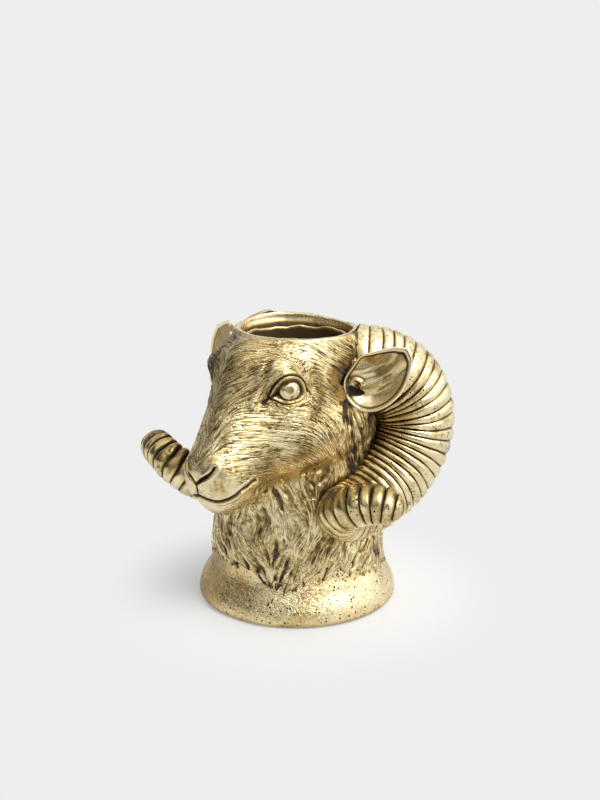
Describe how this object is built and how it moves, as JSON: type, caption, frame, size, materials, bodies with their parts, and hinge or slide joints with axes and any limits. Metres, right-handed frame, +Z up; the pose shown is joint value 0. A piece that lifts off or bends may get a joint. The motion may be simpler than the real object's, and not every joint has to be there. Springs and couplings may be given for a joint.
{
  "type": "ram's head vase",
  "caption": "Gold ceramic vase shaped as a ram's head and neck on a flared foot, with ribbed curling horns, set ears and eyes, and a round mouth in the crown.",
  "frame": {"origin": "centre of the felt base's underside, on the surface that the vase stands on", "axes": "+Z up along the mouth and foot, -Y the way the face looks, +X towards the ram's left"},
  "size_m": [0.1924, 0.1517, 0.1659],
  "materials": {
    "aged_gold": "antique gold lustre over modelled hair, dark brown patina left in the recesses",
    "horn_gold": "satin gold lustre, dark lines between the ribs",
    "foot_gold": "smooth satin gold lustre with black pinholes",
    "eye_gold": "smooth gold lustre",
    "liner_gold": "dark glossy gold inside",
    "felt": "black felt"
  },
  "bodies": {
    "vase": {"felt_base": "felt", "foot": "foot_gold", "head_and_neck": "aged_gold", "water_liner": "liner_gold", "horn_left": "horn_gold", "horn_right": "horn_gold", "ear_left": "aged_gold", "ear_right": "aged_gold", "eye_left": "eye_gold", "eye_right": "eye_gold"}
  },
  "joints": []
}
